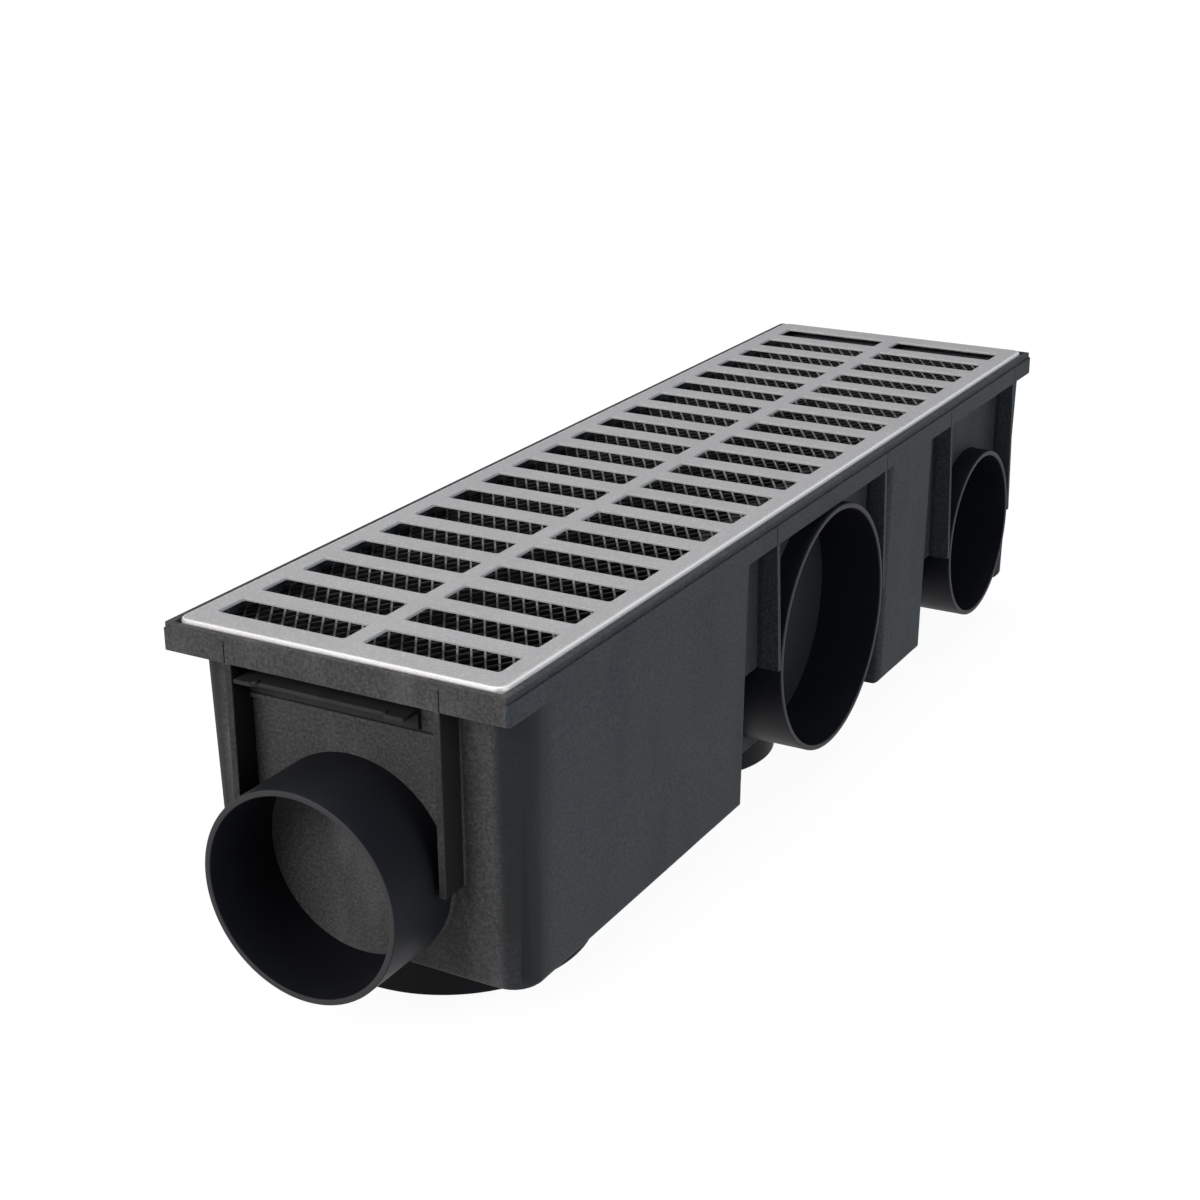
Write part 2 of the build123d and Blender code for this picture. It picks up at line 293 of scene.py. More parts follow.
@dataclass(frozen=True)
class BodyPlastic:
    """Fine grained black moulded plastic, rougher and mottled on the end faces, with painted shade in
    places.
    """

    # Colours and the strength of each mark in them; the corner, disc, recess and rib marks are painted
    # shade
    colour: tuple = (0.0214, 0.0276, 0.0326)
    end_colour: tuple = (0.029, 0.028, 0.028)
    pale: tuple = (0.088, 0.088, 0.090)
    painted_shade_colour: tuple = (0.0080, 0.0085, 0.0098)
    rib_shade_colour: tuple = (0.0038, 0.0038, 0.0042)
    patch_share: float = 0.32
    scuff_share: float = 0.48
    speck_share: float = 0.34
    corner_shade_share: float = 0.85
    corner_scuff: float = 0.45
    disc_shade_share: float = 0.85
    recess_shade_share: float = 0.42
    rib_front_shade_share: float = 0.55

    # Waves to the metre of each noise, and the depth and pitch of the marks
    grain_scale: float = 900.0
    mottle_scale: float = 760.0
    streak_scale: float = 42.0
    grain_depth: float = 0.00012
    ring_pitch: float = 0.0042

    # The near end: the skirt's and panel's faces, the wall behind them and its round corners
    face_line: float = -0.2489
    face_side: float = 0.0711
    wall_line: float = -0.2450
    wall_side: float = 0.0560
    corner_line: float = -0.238
    skirt_line: float = 0.1254

    # The recesses round the side outlets, and the ribs beside the end outlet, which get painted shade
    recess_side: float = 0.0655
    recess_back: float = 0.0440
    recess_foot: float = 0.018
    recess_reach: float = 0.2435
    rib_inner: float = 0.0424
    rib_outer: float = 0.0451
    rib_face: float = -0.2606
    rib_top: float = 0.1253

    def near_faces(self, shade: Shader) -> Sock:
        """One on the near faces of the skirt, the panel and the ribs.

        Args:
            shade: the material's shader.

        Returns:
            The mask.
        """
        near = shade.y.rise(self.face_line, self.face_line - 0.8 * MM)
        return near * abs(shade.x).fall(self.face_side, self.face_side + 0.4 * MM)

    def near_wall(self, shade: Shader) -> Sock:
        """One on the flat of the wall beside the panel.

        Args:
            shade: the material's shader.

        Returns:
            The mask.
        """
        near = shade.y.rise(self.wall_line, self.wall_line - 1.2 * MM)
        flat = abs(shade.x).fall(self.wall_side, self.wall_side + 5.0 * MM)
        return near * flat * shade.z.below(self.rib_top)

    def near_corners(self, shade: Shader, at_end: Sock) -> Sock:
        """One on the round corners of the near wall, which get painted shade.

        Args:
            shade: the material's shader.
            at_end: the mask of the rougher end faces.

        Returns:
            The mask.
        """
        near = shade.y.rise(self.corner_line + 12.0 * MM, self.corner_line) * (1.0 - at_end)
        return near * shade.z.fall(self.skirt_line - 1.0 * MM, self.skirt_line)

    def recesses(self, shade: Shader) -> Sock:
        """One in the recesses round the side outlets, which get painted shade.

        Args:
            shade: the material's shader.

        Returns:
            The mask.
        """
        inside = shade.x.fall(self.recess_side, self.recess_side + 1.2 * MM)
        inside = inside * shade.x.rise(self.recess_back - 3.0 * MM, self.recess_back)
        inside = inside * shade.z.rise(self.recess_foot, self.recess_foot + 4.0 * MM)
        return inside * abs(shade.y).below(self.recess_reach)

    def ribs(self, shade: Shader, faces: Sock) -> Sock:
        """Painted shade: one on the sides of the ribs beside the end outlet, and less on their near
        edges.

        Args:
            shade: the material's shader.
            faces: the mask of the near faces.

        Returns:
            The mask.
        """
        middle = (self.rib_inner + self.rib_outer) / 2
        across = abs(abs(shade.x) - middle).below(self.rib_outer - middle)
        sides = shade.y.ramp(self.rib_face, self.rib_face + 0.4 * MM, self.rib_front_shade_share, 1.0)
        return across * faces * shade.z.below(self.rib_top) * sides

    def build(self, discs: Sequence["Disc"]) -> bpy.types.Material:
        """Make the material.

        Args:
            discs: the closed discs inside the tubes, with faint turned rings; the side ones get painted
                shade.

        Returns:
            The material.
        """
        shade = Shader("body_plastic")
        faces = self.near_faces(shade)
        at_end = faces + (1.0 - faces) * self.near_wall(shade)
        grain = shade.noise(self.grain_scale, 2.0)
        mottle = shade.noise(self.mottle_scale, 4.0)
        streak = shade.noise(self.streak_scale, 5.0, (1.0, 1.0, 0.35))
        patches = mottle.rise(0.36, 0.70) * at_end
        scuff = streak.rise(0.44, 0.72)
        speck = grain.rise(0.35, 0.68)
        rings = sum(disc.rings(shade, self.ring_pitch) for disc in discs)
        # The side tubes' discs, which get painted shade
        shaded = sum(disc.mask(shade) for disc in discs if disc.axis == 0)

        base = shade.blend(at_end, self.colour, self.end_colour)
        pale_mark = patches * self.patch_share + scuff * at_end * self.scuff_share + speck * self.speck_share
        base = shade.blend(pale_mark, base, self.pale)
        # Painted shade on the near wall's round corners (less where scuffed), the side discs and the
        # recesses
        dark = self.near_corners(shade, at_end) * (self.corner_shade_share - scuff * self.corner_scuff)
        dark = dark + shaded * self.disc_shade_share
        dark = dark + self.recesses(shade) * (1.0 - shaded) * self.recess_shade_share
        base = shade.blend(dark, base, self.painted_shade_colour)
        # Painted shade on the sides of the ribs beside the end outlet
        base = shade.blend(self.ribs(shade, faces), base, self.rib_shade_colour)

        rough = 0.60 + grain * 0.12 + patches * -0.10 + scuff * 0.06
        height = grain * 0.9 + mottle * (at_end * 1.7 + 0.2) + rings * 0.15
        return shade.finish(height, self.grain_depth, {
            "Base Color": base, "Roughness": rough, "Specular IOR Level": 0.2,
        })


@dataclass(frozen=True)
class Disc:
    """One closed disc at the root of a tube."""

    centre: tuple
    axis: int
    radius: float
    reach: float = 1.2 * MM

    def flat(self, shade: Shader) -> tuple:
        """Where a point lies against the disc.

        Args:
            shade: the material's shader.

        Returns:
            The distance from the disc's middle, and one on the disc's face and zero off it.
        """
        places = [shade.x, shade.y, shade.z]
        parts = [place - middle for place, middle in zip(places, self.centre)]
        near = abs(parts[self.axis]).below(self.reach)
        first, second = [part for index, part in enumerate(parts) if index != self.axis]
        distance = (first * first + second * second).root()
        return distance, distance.below(self.radius) * near

    def mask(self, shade: Shader) -> Sock:
        """One on the disc's face and zero off it.

        Args:
            shade: the material's shader.

        Returns:
            The mask.
        """
        return self.flat(shade)[1]

    def rings(self, shade: Shader, pitch: float) -> Sock:
        """Faint turned rings over the disc.

        Args:
            shade: the material's shader.
            pitch: distance between rings in metres.

        Returns:
            A wave on the disc, and zero off it.
        """
        distance, inside = self.flat(shade)
        return (distance * (2 * math.pi / pitch)).sine() * inside


@dataclass(frozen=True)
class OutletPlastic:
    """Smooth satin black plastic with a parting line round the tube's middle and a paler mouth."""

    name: str
    line_axis: int = 2
    line_place: float = -1.0
    mouth_axis: int = 2
    mouth_place: float = -1.0
    colour: tuple = (0.0075, 0.0083, 0.0112)
    pale: tuple = (0.018, 0.019, 0.023)
    mouth_colour: tuple = (0.060, 0.060, 0.062)
    mouth_share: float = 0.55
    line_half_width: float = 0.22 * MM
    grain_scale: float = 900.0
    flow_scale: float = 38.0
    depth: float = 0.00007

    def build(self) -> bpy.types.Material:
        """Make the material.

        Returns:
            The material.
        """
        shade = Shader(self.name)
        places = (shade.x, shade.y, shade.z)
        from_line = abs(places[self.line_axis] - self.line_place)
        line = from_line.fall(self.line_half_width, 2 * self.line_half_width)
        from_mouth = abs(places[self.mouth_axis] - self.mouth_place)
        grain = shade.noise(self.grain_scale, 2.0)
        flow = shade.noise(self.flow_scale, 3.0)
        base = shade.blend(flow.rise(0.45, 0.75, 0.25), self.colour, self.pale)
        mouth = from_mouth.ramp(0.1 * MM, 0.4 * MM, self.mouth_share, 0.0)
        base = shade.blend(mouth, base, self.mouth_colour)
        rough = 0.44 + grain * 0.06 + flow * 0.08
        height = grain * 0.25 + line
        return shade.finish(height, self.depth, {
            "Base Color": base, "Roughness": rough, "Specular IOR Level": 0.11,
        })


@dataclass(frozen=True)
class GrateMetal:
    """A light grey metallic coat with a fine sparkle and painted highlights along its edges and slots.
    """

    colour: tuple = (0.375, 0.375, 0.380)
    # The bright colour takes the coat's sparkle and the painted highlights
    bright: tuple = (0.80, 0.79, 0.78)
    dull: tuple = (0.29, 0.29, 0.295)
    cloud_share: float = 0.35
    sparkle_share: float = 0.26
    # Strengths of the painted highlights on the rolled sides and ends, under the top and on the slots'
    # lips
    side_highlight_share: float = 0.45
    end_highlight_share: float = 0.05
    under_highlight_share: float = 0.3
    lip_highlight_share: float = 0.8
    edge_highlight_share: float = 0.8
    roll_start: float = 2.2 * MM
    roll_end: float = 0.6 * MM
    sparkle_scale: float = 1300.0
    cloud_scale: float = 26.0
    brush_scale: float = 120.0
    depth: float = 0.00004

    def edges(self, shade: Shader, half_width: float, half_length: float, top: float) -> Sock:
        """Painted highlights near the sheet's rolled edge and round its slots.

        Args:
            shade: the material's shader.
            half_width: the grate's half width in metres.
            half_length: its half length.
            top: the height of its top face.

        Returns:
            The highlights' strength, from zero on the flat.
        """
        sides = abs(shade.x).rise(half_width - self.roll_start, half_width - self.roll_end)
        ends = abs(shade.y).rise(half_length - self.roll_start, half_length - self.roll_end)
        under = shade.z.fall(top - 0.8 * MM, top - 0.1 * MM)
        lip = shade.z.rise(top - 0.6 * MM, top - 0.45 * MM, self.lip_highlight_share)
        lip = lip * shade.z.fall(top - 0.22 * MM, top - 0.02 * MM)
        return sides * self.side_highlight_share + ends * self.end_highlight_share + under * self.under_highlight_share + lip

    def build(self, half_width: float, half_length: float, top: float) -> bpy.types.Material:
        """Make the material.

        Args:
            half_width: the grate's half width in metres.
            half_length: its half length.
            top: the height of its top face.

        Returns:
            The material.
        """
        shade = Shader("grate_metal")
        sparkle = shade.noise(self.sparkle_scale, 3.0)
        cloud = shade.noise(self.cloud_scale, 4.0)
        brushed = shade.noise(self.brush_scale, 3.0, (1.0, 9.0, 1.0))
        base = shade.blend(cloud.rise(0.40, 0.70) * self.cloud_share, self.colour, self.dull)
        # Painted highlights on the edges, with the coat's own sparkle
        pale_mark = self.edges(shade, half_width, half_length, top) * self.edge_highlight_share
        pale_mark = pale_mark + sparkle.rise(0.45, 0.75, self.sparkle_share)
        base = shade.blend(pale_mark, base, self.bright)
        rough = 0.36 + sparkle * 0.16 + cloud * 0.06
        height = sparkle * 0.5 + brushed * 0.25
        return shade.finish(height, self.depth, {
            "Base Color": base, "Roughness": rough, "Metallic": 0.3,
        })


@dataclass(frozen=True)
class MeshMetal:
    """Dark coated mesh with a painted highlight on the strands of one direction, broken at the joints.
    """

    colour: tuple = (0.014, 0.014, 0.0135)
    # Colour of the painted highlight on the strands
    pale_mark: tuple = (0.31, 0.31, 0.30)
    lit_strand_reach: tuple = (0.085, 0.11)
    joint_reach: tuple = (0.06, 0.16)
    shaded_strand_share: float = 0.24
    joint_shade_share: float = 0.4
    wear_scale: float = 160.0
    depth: float = 0.00005

    def build(self, cell_width: float, cell_length: float) -> bpy.types.Material:
        """Make the material, in which the strands of one direction carry a painted highlight.

        Args:
            cell_width: a diamond's width in metres.
            cell_length: its length.

        Returns:
            The material.
        """
        shade = Shader("mesh_metal")
        wear = shade.noise(self.wear_scale, 4.0)
        across = shade.x * (1 / cell_width)
        along = shade.y * (1 / cell_length)
        from_lit_strand = abs((across + along + 0.5).part() - 0.5)
        from_joint = abs((across - along + 0.5).part() - 0.5)
        # Painted highlight on one strand direction, weaker on the others and at the joints, varied at
        # random
        pale_mark = from_lit_strand.fall(*self.lit_strand_reach, self.shaded_strand_share)
        pale_mark = pale_mark * from_joint.ramp(*self.joint_reach, self.joint_shade_share, 1.0)
        base = shade.blend(wear.ramp(0.35, 0.65, 0.45, 1.0) * pale_mark, self.colour, self.pale_mark)
        return shade.finish(wear, self.depth, {
            "Base Color": base, "Roughness": 0.42 + wear * 0.2, "Metallic": 0.6,
        })


class Bench:
    """The modelling steps that every new piece shares."""

    @staticmethod
    def clear() -> None:
        """Leave edit mode and deselect everything."""
        if bpy.context.object and bpy.context.object.mode != "OBJECT":
            bpy.ops.object.mode_set(mode="OBJECT")
        bpy.ops.object.select_all(action="DESELECT")

    @staticmethod
    def take(piece: bpy.types.Object) -> None:
        """Make this piece the only selected and active one.

        Args:
            piece: the piece.
        """
        Bench.clear()
        piece.select_set(True)
        bpy.context.view_layer.objects.active = piece

    @staticmethod
    def pick(piece: bpy.types.Object, kind: str, test: Callable) -> None:
        """Select mesh elements by a test on each, and go to edit mode.

        Args:
            piece: the piece.
            kind: VERT, EDGE or FACE.
            test: called with the element and the mesh.
        """
        bpy.ops.object.mode_set(mode="EDIT")
        bpy.ops.mesh.select_mode(type=kind)
        bpy.ops.mesh.select_all(action="DESELECT")
        bpy.ops.object.mode_set(mode="OBJECT")
        mesh = piece.data
        elements = {"VERT": mesh.vertices, "EDGE": mesh.edges, "FACE": mesh.polygons}[kind]
        for element in elements:
            element.select = bool(test(element, mesh))
        bpy.ops.object.mode_set(mode="EDIT")

    @staticmethod
    def done() -> None:
        """Go back to object mode."""
        bpy.ops.object.mode_set(mode="OBJECT")

    @staticmethod
    def modify(piece: bpy.types.Object, kind: str, **settings: object) -> None:
        """Add one modifier and apply it.

        Args:
            piece: the piece.
            kind: the modifier's type.
            settings: its properties.
        """
        Bench.take(piece)
        modifier = piece.modifiers.new(kind.title(), kind)
        for key, value in settings.items():
            setattr(modifier, key, value)
        bpy.ops.object.modifier_apply(modifier=modifier.name)

    @staticmethod
    def sheet(low: Vector, high: Vector, height: float) -> bpy.types.Object:
        """Lay a flat rectangle.

        Args:
            low: a corner of its outline.
            high: the opposite corner.
            height: its height.

        Returns:
            The rectangle.
        """
        Bench.clear()
        middle = (low + high) / 2
        bpy.ops.mesh.primitive_plane_add(size=1.0, location=(middle.x, middle.y, height))
        piece = bpy.context.object
        piece.scale = (high.x - low.x, high.y - low.y, 1.0)
        bpy.ops.object.transform_apply(location=True, rotation=True, scale=True)
        return piece

    @staticmethod
    def cut(planes: Iterable, clear: bool = False) -> None:
        """Cut the active piece along planes.

        Args:
            planes: a point and a normal for each plane.
            clear: whether what lies past each plane goes.
        """
        bpy.ops.object.mode_set(mode="EDIT")
        for place, normal in planes:
            bpy.ops.mesh.select_all(action="SELECT")
            bpy.ops.mesh.bisect(plane_co=place, plane_no=normal, clear_outer=clear)
        Bench.done()

    @staticmethod
    def pull(move: Sequence[float]) -> None:
        """Extrude the selection, turn all faces the same way and leave edit mode.

        Args:
            move: how far the selection is pulled out.
        """
        bpy.ops.mesh.extrude_region_move(TRANSFORM_OT_translate={"value": tuple(move)})
        bpy.ops.mesh.select_all(action="SELECT")
        bpy.ops.mesh.normals_make_consistent(inside=False)
        Bench.done()

    @staticmethod
    def thicken(
        piece: bpy.types.Object, thickness: float, inward: bool = True, **settings: object
    ) -> None:
        """Give a surface its thickness on one side.

        Args:
            piece: the piece.
            thickness: the wall's thickness.
            inward: whether the wall grows against the faces' normals.
            settings: further properties of the modifier.
        """
        side = -1.0 if inward else 1.0
        Bench.modify(piece, "SOLIDIFY", thickness=thickness, offset=side, **settings)

    @staticmethod
    def round_edges(piece: bpy.types.Object, width: float, angle: float) -> None:
        """Round every sharp edge.

        Args:
            piece: the piece.
            width: how far the rounding reaches from each edge.
            angle: the least angle in degrees that counts as sharp.
        """
        limit = math.radians(angle)
        Bench.modify(piece, "BEVEL", width=width, segments=2, limit_method="ANGLE", angle_limit=limit)

    @staticmethod
    def settle(piece: bpy.types.Object, name: str, angle: float) -> bpy.types.Object:
        """Put the piece's place into its mesh, smooth it by angle and weight its normals by face.

        Args:
            piece: the piece.
            name: its new name.
            angle: edges sharper than this many degrees stay sharp.

        Returns:
            The piece.
        """
        Bench.take(piece)
        bpy.ops.object.transform_apply(location=True, rotation=True, scale=True)
        bpy.ops.object.shade_smooth_by_angle(angle=math.radians(angle))
        Bench.modify(piece, "WEIGHTED_NORMAL", keep_sharp=True, weight=90)
        piece.name = name
        piece.data.name = name
        return piece


def mid(edge: bpy.types.MeshEdge, mesh: bpy.types.Mesh) -> Vector:
    """The middle of an edge.

    Args:
        edge: the edge.
        mesh: its mesh.

    Returns:
        The point halfway along it.
    """
    first, second = edge.vertices
    return (mesh.vertices[first].co + mesh.vertices[second].co) / 2


def dress(piece: bpy.types.Object, material: bpy.types.Material) -> None:
    """Give a piece one material.

    Args:
        piece: the piece.
        material: its material.
    """
    piece.data.materials.clear()
    piece.data.materials.append(material)


def hand_over(piece: bpy.types.Object, slot: str, *nodes: str) -> None:
    """Let a piece ride on the drain and hide the CAD nodes that it stands for.

    Args:
        piece: the piece.
        slot: the record's material slot; not used.
        nodes: the CAD nodes that it replaces.
    """
    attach(piece, "root")
    if nodes:
        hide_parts(*nodes)
    LOG.info("%s: %d faces", piece.name, len(piece.data.polygons))


@dataclass
class Moulding:
    """One moulded piece of the channel, with its edges slightly rounded."""

    node: str
    name: str
    edge_round: float = 0.35 * MM
    flat_angle: float = 0.6

    def build(self, frame: dict) -> bpy.types.Object:
        """Copy the piece's solid, join its triangles and round its edges.

        Args:
            frame: the loaded frame.

        Returns:
            The moulded piece.
        """
        source = frame["nodes"][self.node]
        piece = source.copy()
        piece.data = source.data.copy()
        piece.parent = None
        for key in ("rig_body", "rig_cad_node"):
            if key in piece:
                del piece[key]
        bpy.context.scene.collection.objects.link(piece)
        Bench.take(piece)
        bpy.ops.object.mode_set(mode="EDIT")
        bpy.ops.mesh.select_all(action="SELECT")
        bpy.ops.mesh.remove_doubles(threshold=NEAR)
        bpy.ops.mesh.dissolve_limited(angle_limit=math.radians(self.flat_angle))
        Bench.done()
        Bench.round_edges(piece, self.edge_round, 35)
        return Bench.settle(piece, self.name, 32.0)


@dataclass
class Grate:
    """The pressed grate: a slotted sheet with rounded slot corners and a rolled edge turned down."""

    node: str = "grate"
    rows: int = 20
    pitch: float = 25.05 * MM
    slot_length: float = 56.0 * MM
    slot_width: float = 16.0 * MM
    centre_bar: float = 7.4 * MM
    slot_round: float = 1.5 * MM
    sheet: float = 1.25 * MM
    sunk: float = 0.6 * MM
    roll: float = 1.5 * MM
    corner: float = 5.0 * MM
    edge_round: float = 0.42 * MM

    def slot_lines(self) -> tuple:
        """The lines along which the sheet is divided.

        Returns:
            The places of the lines across X, and of those across Y.
        """
        inner = self.centre_bar / 2
        outer = inner + self.slot_length
        across = [-outer, -inner, inner, outer]
        first = -(self.rows - 1) * self.pitch / 2
        middles = [first + row * self.pitch for row in range(self.rows)]
        along = [middle + side * self.slot_width / 2 for middle in middles for side in (-1, 1)]
        return across, along

    def in_slot(self, place: Vector) -> bool:
        """Whether a point of the sheet lies inside a slot.

        Args:
            place: the point.

        Returns:
            True inside a slot.
        """
        inner = self.centre_bar / 2
        if not inner < abs(place.x) < inner + self.slot_length:
            return False
        first = -(self.rows - 1) * self.pitch / 2
        row = round((place.y - first) / self.pitch)
        return 0 <= row < self.rows and abs(place.y - first - row * self.pitch) < self.slot_width / 2

    def build(self) -> bpy.types.Object:
        """Cut the slots out of a sheet, round their corners, turn the edge down and thicken it.

        Returns:
            The grate.
        """
        low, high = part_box(self.node)
        high.z -= self.sunk
        piece = Bench.sheet(low, high, high.z)
        across, along = self.slot_lines()
        Bench.cut([((place, 0.0, high.z), (1.0, 0.0, 0.0)) for place in across])
        Bench.cut([((0.0, place, high.z), (0.0, 1.0, 0.0)) for place in along])
        Bench.pick(piece, "FACE", lambda face, mesh: self.in_slot(face.center))
        bpy.ops.mesh.delete(type="FACE")
        Bench.done()
        self._round_corners(piece, high)
        self._turn_edge_down(piece, low.z, high)
        Bench.thicken(piece, self.sheet, use_even_offset=True, use_quality_normals=True)
        Bench.round_edges(piece, self.edge_round, 50)
        return Bench.settle(piece, "slotted_grate", 40.0)

    def on_outline(self, point: Vector, high: Vector) -> bool:
        """Whether a point lies on the sheet's rounded outline.

        Args:
            point: the point.
            high: the sheet's upper far right corner.

        Returns:
            True on the outline.
        """
        over_x = abs(point.x) - (high.x - self.corner)
        over_y = abs(point.y) - (high.y - self.corner)
        if over_x > 0 and over_y > 0:
            return math.hypot(over_x, over_y) > self.corner * 0.97
        return max(over_x, over_y) > self.corner * 0.98

    def _round_corners(self, piece: bpy.types.Object, high: Vector) -> None:
        """Round the slots' corners, then the sheet's own."""
        across, along = self.slot_lines()

        def slot_corner(vertex: bpy.types.MeshVertex, mesh: bpy.types.Mesh) -> bool:
            on_x = any(abs(vertex.co.x - place) < 2 * NEAR for place in across)
            on_y = any(abs(vertex.co.y - place) < 2 * NEAR for place in along)
            return on_x and on_y

        def sheet_corner(vertex: bpy.types.MeshVertex, mesh: bpy.types.Mesh) -> bool:
            return abs(vertex.co.x) > high.x - 2 * NEAR and abs(vertex.co.y) > high.y - 2 * NEAR

        slots = (slot_corner, self.slot_round, 4)
        sheet = (sheet_corner, self.corner, 10)
        for test, reach, segments in (slots, sheet):
            Bench.pick(piece, "VERT", test)
            bpy.ops.mesh.bevel(offset=reach, segments=segments, affect="VERTICES")
            Bench.done()

    def _turn_edge_down(self, piece: bpy.types.Object, low_z: float, high: Vector) -> None:
        """Extrude the outer edge down and roll its top."""
        edge_faces = Counter(key for face in piece.data.polygons for key in face.edge_keys)

        def rim(edge: bpy.types.MeshEdge, mesh: bpy.types.Mesh) -> bool:
            return edge_faces[edge.key] == 1 and self.on_outline(mid(edge, mesh), high)

        def top_rim(edge: bpy.types.MeshEdge, mesh: bpy.types.Mesh) -> bool:
            ends = [mesh.vertices[index].co for index in edge.vertices]
            return all(abs(end.z - high.z) < NEAR and self.on_outline(end, high) for end in ends)

        Bench.pick(piece, "EDGE", rim)
        Bench.pull((0.0, 0.0, low_z - high.z))
        Bench.pick(piece, "EDGE", top_rim)
        bpy.ops.mesh.bevel(offset=self.roll, segments=6, affect="EDGES", clamp_overlap=True)
        Bench.done()


@dataclass
class LeafMesh:
    """The expanded metal mesh that lies on the rim's lower step."""

    node: str = "leaf_mesh"
    cell_width: float = 5.8 * MM
    cell_length: float = 9.0 * MM
    strand: float = 0.75 * MM
    thickness: float = 0.6 * MM

    def build(self) -> bpy.types.Object:
        """Turn a grid on its corners, trim it and open its diamonds.

        Returns:
            The mesh.
        """
        low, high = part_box(self.node)
        size = high - low
        span = size.x / self.cell_width + size.y / self.cell_length
        count = 2 * math.ceil(span / 2 + 1)
        Bench.clear()
        bpy.ops.mesh.primitive_grid_add(
            x_subdivisions=count, y_subdivisions=count, size=count / math.sqrt(2),
            rotation=(0.0, 0.0, math.radians(45)),
        )
        piece = bpy.context.object
        bpy.ops.object.transform_apply(location=True, rotation=True, scale=True)
        piece.scale = (self.cell_width, self.cell_length, 1.0)
        piece.location = (0.0, 0.0, high.z)
        bpy.ops.object.transform_apply(location=True, rotation=True, scale=True)
        halves = ((Vector((1, 0, 0)), size.x / 2), (Vector((0, 1, 0)), size.y / 2))
        Bench.cut(
            [(axis * half * side, axis * side) for axis, half in halves for side in (-1, 1)], clear=True
        )
        bpy.ops.object.mode_set(mode="EDIT")
        bpy.ops.mesh.select_all(action="SELECT")
        bpy.ops.mesh.inset(
            thickness=self.strand / 2, depth=0.0, use_individual=True, use_boundary=True
        )
        bpy.ops.mesh.delete(type="FACE")
        Bench.done()
        Bench.thicken(piece, self.thickness)
        return Bench.settle(piece, "expanded_mesh", 20.0)


@dataclass
class EndClip:
    """The bent strip at the near end, whose tongue has a relieved nose and two nubs."""

    node: str = "end_clip"
    sheet: float = 1.6 * MM
    relief: float = 1.6 * MM
    land: float = 7.2 * MM
    nub: float = 1.2 * MM
    nub_height: float = 0.8 * MM
    edge_round: float = 0.25 * MM

    def build(self) -> bpy.types.Object:
        """Shape the tongue, turn its back edge down and set the nubs.

        Returns:
            The clip.
        """
        low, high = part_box(self.node)
        top = high.z - self.nub_height
        piece = Bench.sheet(low, high, top)
        slant = self.relief * 1.5
        left = (low.x + self.land, low.x + self.land + slant)
        right = (high.x - self.land - slant, high.x - self.land)
        Bench.cut([((place, 0.0, top), (1.0, 0.0, 0.0)) for place in left + right])

        def nose(vertex: bpy.types.MeshVertex, mesh: bpy.types.Mesh) -> bool:
            return vertex.co.y < low.y + NEAR and left[1] - NEAR < vertex.co.x < right[0] + NEAR

        Bench.pick(piece, "VERT", nose)
        bpy.ops.transform.translate(value=(0.0, self.relief, 0.0))
        Bench.done()
        Bench.pick(piece, "EDGE", lambda edge, mesh: mid(edge, mesh).y > high.y - NEAR)
        Bench.pull((0.0, 0.0, low.z - top))
        up = sum(face.normal.z for face in piece.data.polygons) > 0
        Bench.thicken(piece, self.sheet, up, use_even_offset=True)
        Bench.round_edges(piece, self.edge_round, 30)
        places = (low.x + self.land + self.relief, high.x - self.land - self.relief)
        nubs = [self._nub(place, low.y + self.nub, top) for place in places]
        Bench.take(piece)
        for nub in nubs:
            nub.select_set(True)
        bpy.ops.object.join()
        return Bench.settle(piece, "end_clip_strip", 32.0)

    def _nub(self, place_x: float, place_y: float, top: float) -> bpy.types.Object:
        """One small round nub on the tongue."""
        Bench.clear()
        bpy.ops.mesh.primitive_cylinder_add(
            vertices=24, radius=self.nub, depth=self.nub_height * 1.5,
            location=(place_x, place_y, top + self.nub_height * 0.25),
        )
        nub = bpy.context.object
        Bench.round_edges(nub, self.edge_round, 40)
        return nub


